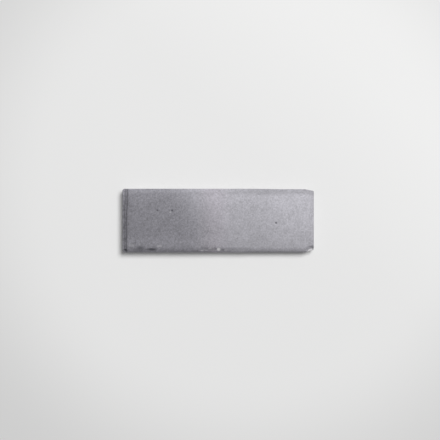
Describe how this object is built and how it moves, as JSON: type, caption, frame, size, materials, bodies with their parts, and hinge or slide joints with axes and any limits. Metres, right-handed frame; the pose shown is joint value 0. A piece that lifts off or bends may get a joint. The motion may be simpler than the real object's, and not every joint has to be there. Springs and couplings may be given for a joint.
{
  "type": "porcelain tile",
  "caption": "Small oblong porcelain tile with a satin glazed face, soft uneven edges, a chipped corner and a keyed back with shallow pockets for mortar.",
  "frame": {"origin": "middle of the back, on the plane that the back's border and ribs rest on", "axes": "+X along the tile's length, +Y across its width, +Z out of the glazed face"},
  "size_m": [0.15, 0.05, 0.01],
  "materials": {
    "glazed_porcelain": "satin"
  },
  "bodies": {
    "root": {"tile": "glazed_porcelain"}
  },
  "joints": []
}
